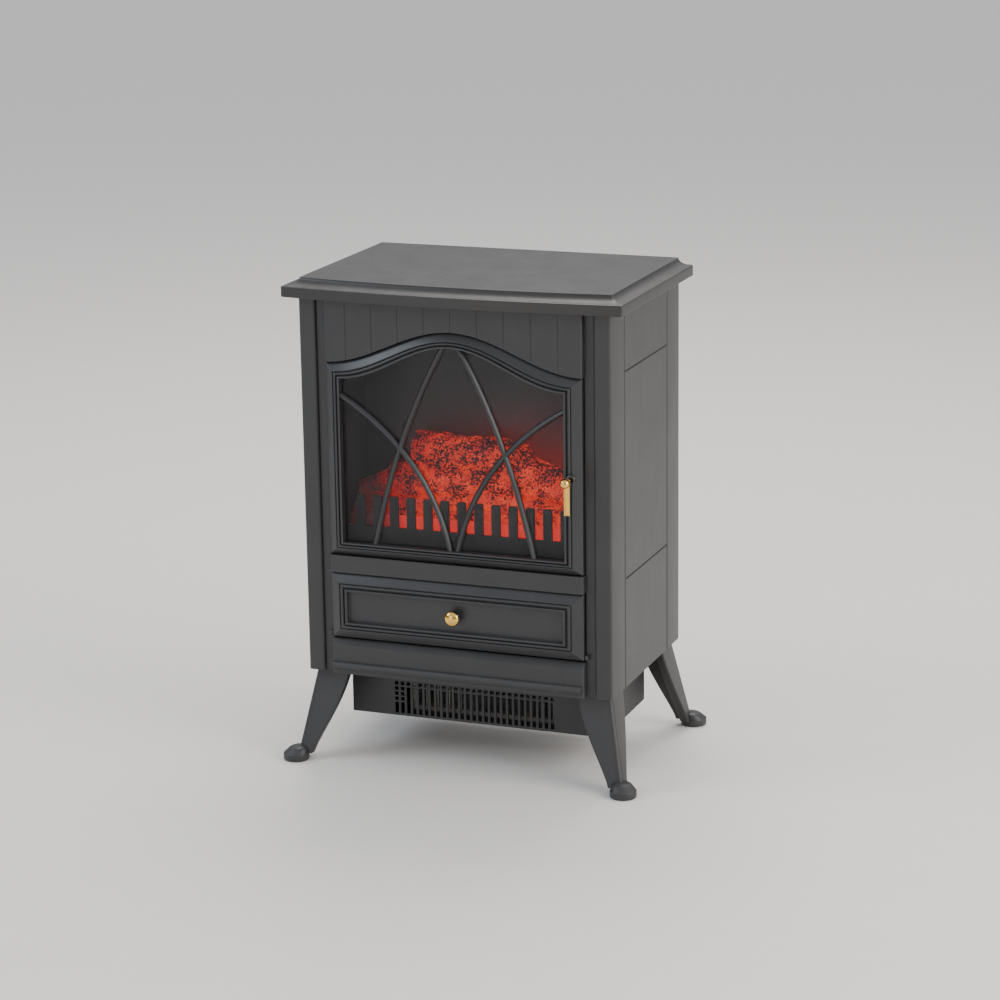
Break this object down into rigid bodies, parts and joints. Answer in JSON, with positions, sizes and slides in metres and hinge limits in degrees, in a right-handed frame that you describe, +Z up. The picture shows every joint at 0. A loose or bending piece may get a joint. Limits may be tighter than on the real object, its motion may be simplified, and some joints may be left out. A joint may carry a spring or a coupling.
{
  "type": "electric fireplace",
  "caption": "Stove-style electric fan heater on splayed legs, with a hinged lattice door over a lit log bed, a drop flap over the controls and a warm-air outlet below.",
  "frame": {"origin": "bottom centre of the whole object's box, on the floor between the feet", "axes": "+Z up, the door faces -Y, +X to the right seen from the front"},
  "size_m": [0.4106, 0.2928, 0.54],
  "materials": {
    "painted_top": "fibreboard with a routed edge, satin black paint",
    "casing_black": "fine-textured satin black",
    "door_black": "satin black, smooth, brighter on the moulding's edges",
    "sheet_black": "black powder coat",
    "clear_pane": "clear and thin",
    "polished_brass": "polished",
    "gloss_black": "gloss black",
    "steel": "plain bright steel",
    "dark_steel": "blackened pins",
    "inner_black": "moulded black, matt",
    "log_resin": "translucent moulded logs, charred black on top and lit red from inside",
    "ember_resin": "translucent red, lit from inside",
    "grate_black": "matt black",
    "flame_film": "smoked screen with a red glow low down",
    "motor_metal": "zinc-plated",
    "wheel_aluminium": "plain",
    "lamp_glass": "clear bulb",
    "ceramic": "unglazed"
  },
  "bodies": {
    "casing": {"top_slab": "painted_top", "front_frame": "casing_black", "side_panel_left": "casing_black", "side_panel_right": "casing_black", "rear_shell": "casing_black", "leg_front_left": "casing_black", "leg_front_right": "casing_black", "leg_rear_left": "casing_black", "leg_rear_right": "casing_black", "base_plate": "sheet_black", "heater_housing": "sheet_black", "outlet_grille": "sheet_black", "fire_liner": "sheet_black", "spindle_bracket": "sheet_black", "blower_housing": "sheet_black", "thermal_cutout": "steel", "door_hinge_pin_lower": "dark_steel", "door_hinge_pin_upper": "dark_steel", "flap_hinge_pin_left": "dark_steel", "flap_hinge_pin_right": "dark_steel", "control_panel": "inner_black", "door_magnet": "inner_black", "flame_switch": "inner_black", "low_heat_switch": "inner_black", "high_heat_switch": "inner_black", "thermostat_body": "inner_black", "dimmer_body": "inner_black", "blower_bearing": "inner_black", "cord_gland": "inner_black", "log_bed": "log_resin", "ember_strip": "ember_resin", "grate": "grate_black", "flame_screen": "flame_film", "flicker_motor": "motor_metal", "blower_motor": "motor_metal", "lamp_left": "lamp_glass", "lamp_right": "lamp_glass", "heater_element": "ceramic", "lamp_holder_left": "ceramic", "lamp_holder_right": "ceramic", "terminal_block": "ceramic"},
    "door": {"door_frame": "door_black", "door_lattice": "door_black", "door_pane": "clear_pane", "door_knob_boss": "gloss_black", "door_knob": "polished_brass", "door_catch_plate": "steel"},
    "strap": {"door_strap": "polished_brass"},
    "flap": {"control_flap": "door_black", "flap_knob_neck": "gloss_black", "flap_knob": "polished_brass"},
    "flame_key": {"flame_rocker": "gloss_black"},
    "low_heat_key": {"low_heat_rocker": "gloss_black"},
    "high_heat_key": {"high_heat_rocker": "gloss_black"},
    "thermostat_knob": {"thermostat_dial": "gloss_black"},
    "dimmer_knob": {"dimmer_dial": "gloss_black"},
    "spindle": {"flicker_spindle": "steel"},
    "wheel": {"blower_wheel": "wheel_aluminium"}
  },
  "joints": [
    {"name": "door_swing", "type": "hinge", "parent": "casing", "child": "door", "pos_m": [-0.1405, -0.11117, 0.3449], "axis": [0, 0, -1], "range_deg": [0, 100]},
    {"name": "strap_swing", "type": "hinge", "parent": "door", "child": "strap", "pos_m": [0.135, -0.13417, 0.3449], "axis": [0, 1, 0], "range_deg": [-90, 90]},
    {"name": "flap_drop", "type": "hinge", "parent": "casing", "child": "flap", "pos_m": [0, -0.11117, 0.148], "axis": [1, 0, 0], "range_deg": [0, 90]},
    {"name": "flame_rock", "type": "hinge", "parent": "casing", "child": "flame_key", "pos_m": [-0.1, -0.08887, 0.1814], "axis": [-1, 0, 0], "range_deg": [0, 16]},
    {"name": "low_heat_rock", "type": "hinge", "parent": "casing", "child": "low_heat_key", "pos_m": [-0.07, -0.08887, 0.1814], "axis": [-1, 0, 0], "range_deg": [0, 16]},
    {"name": "high_heat_rock", "type": "hinge", "parent": "casing", "child": "high_heat_key", "pos_m": [-0.04, -0.08887, 0.1814], "axis": [-1, 0, 0], "range_deg": [0, 16]},
    {"name": "thermostat_turn", "type": "hinge", "parent": "casing", "child": "thermostat_knob", "pos_m": [0.03499, -0.09027, 0.1814], "axis": [0, 1, 0], "range_deg": [0, 270]},
    {"name": "dimmer_turn", "type": "hinge", "parent": "casing", "child": "dimmer_knob", "pos_m": [0.095, -0.09027, 0.1814], "axis": [0, 1, 0], "range_deg": [0, 270]},
    {"name": "flicker_spin", "type": "hinge", "parent": "casing", "child": "spindle", "pos_m": [0, -0.00328, 0.3], "axis": [1, 0, 0], "continuous": true},
    {"name": "blower_spin", "type": "hinge", "parent": "casing", "child": "wheel", "pos_m": [0, 0.02518, 0.07225], "axis": [1, 0, 0], "continuous": true}
  ]
}
